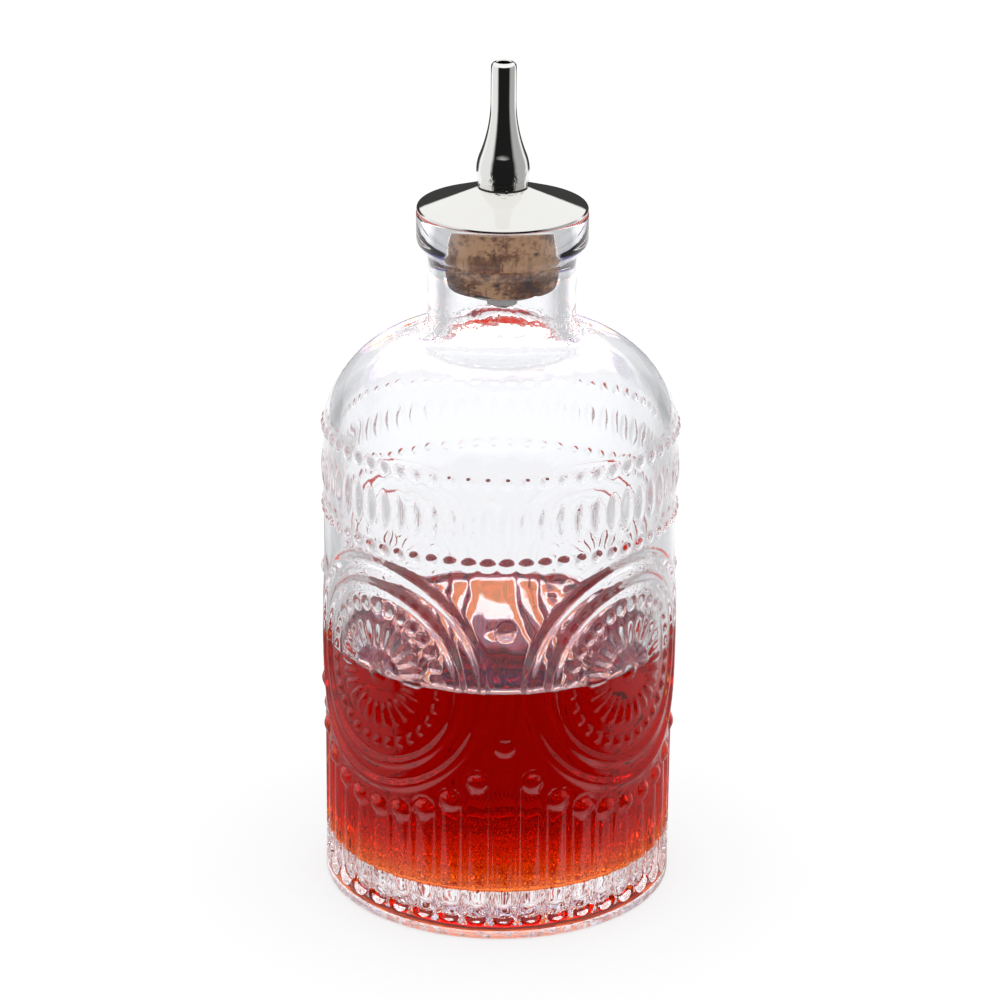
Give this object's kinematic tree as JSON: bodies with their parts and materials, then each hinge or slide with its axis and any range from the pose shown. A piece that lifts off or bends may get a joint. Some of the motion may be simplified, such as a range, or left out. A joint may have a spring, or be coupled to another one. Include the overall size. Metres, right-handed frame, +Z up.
{
  "type": "bitters bottle",
  "caption": "Pressed clear glass bottle of red liquid, with flutes, beaded medallions and a cork stopper that carries a polished cone plate and a narrow dasher spout.",
  "frame": {"origin": "centre of the base, in the plane of the standing ring", "axes": "+Z up the bottle's axis to the spout's tip, -Y towards the front spandrel between two medallions, +X to the right of it"},
  "size_m": [0.0672, 0.0672, 0.1597],
  "materials": {
    "clear_glass": "fire-polished pressed glass",
    "red_liquid": "clear deep red liquid",
    "cork": "natural cork with pores and cracks",
    "polished_metal": "mirror polished",
    "plain_metal": "as turned",
    "dark_rubber": "matte"
  },
  "bodies": {
    "bottle": {"glass_bottle": "clear_glass", "bitters_fill": "red_liquid"},
    "stopper": {"cork_stopper": "cork", "cover_plate": "polished_metal", "stem_tube": "plain_metal", "clamp_washer": "plain_metal", "stem_nut": "plain_metal"},
    "seal": {"spout_gasket": "dark_rubber"},
    "spout": {"dasher_spout": "polished_metal"}
  },
  "joints": [
    {"name": "stopper_lift", "type": "slide", "parent": "bottle", "child": "stopper", "axis": [0, 0, 1], "range_m": [0, 0.03]},
    {"name": "spout_rise", "type": "slide", "parent": "stopper", "child": "seal", "axis": [0, 0, 1], "range_m": [0, 0.00385]},
    {"name": "spout_turn", "type": "hinge", "parent": "seal", "child": "spout", "pos_m": [0, 0, 0.1368], "axis": [0, 0, 1], "range_deg": [0, 1980]}
  ],
  "couplings": [
    {"joint": "spout_turn", "follows": "spout_rise", "rad_per_m": 8975.9}
  ]
}
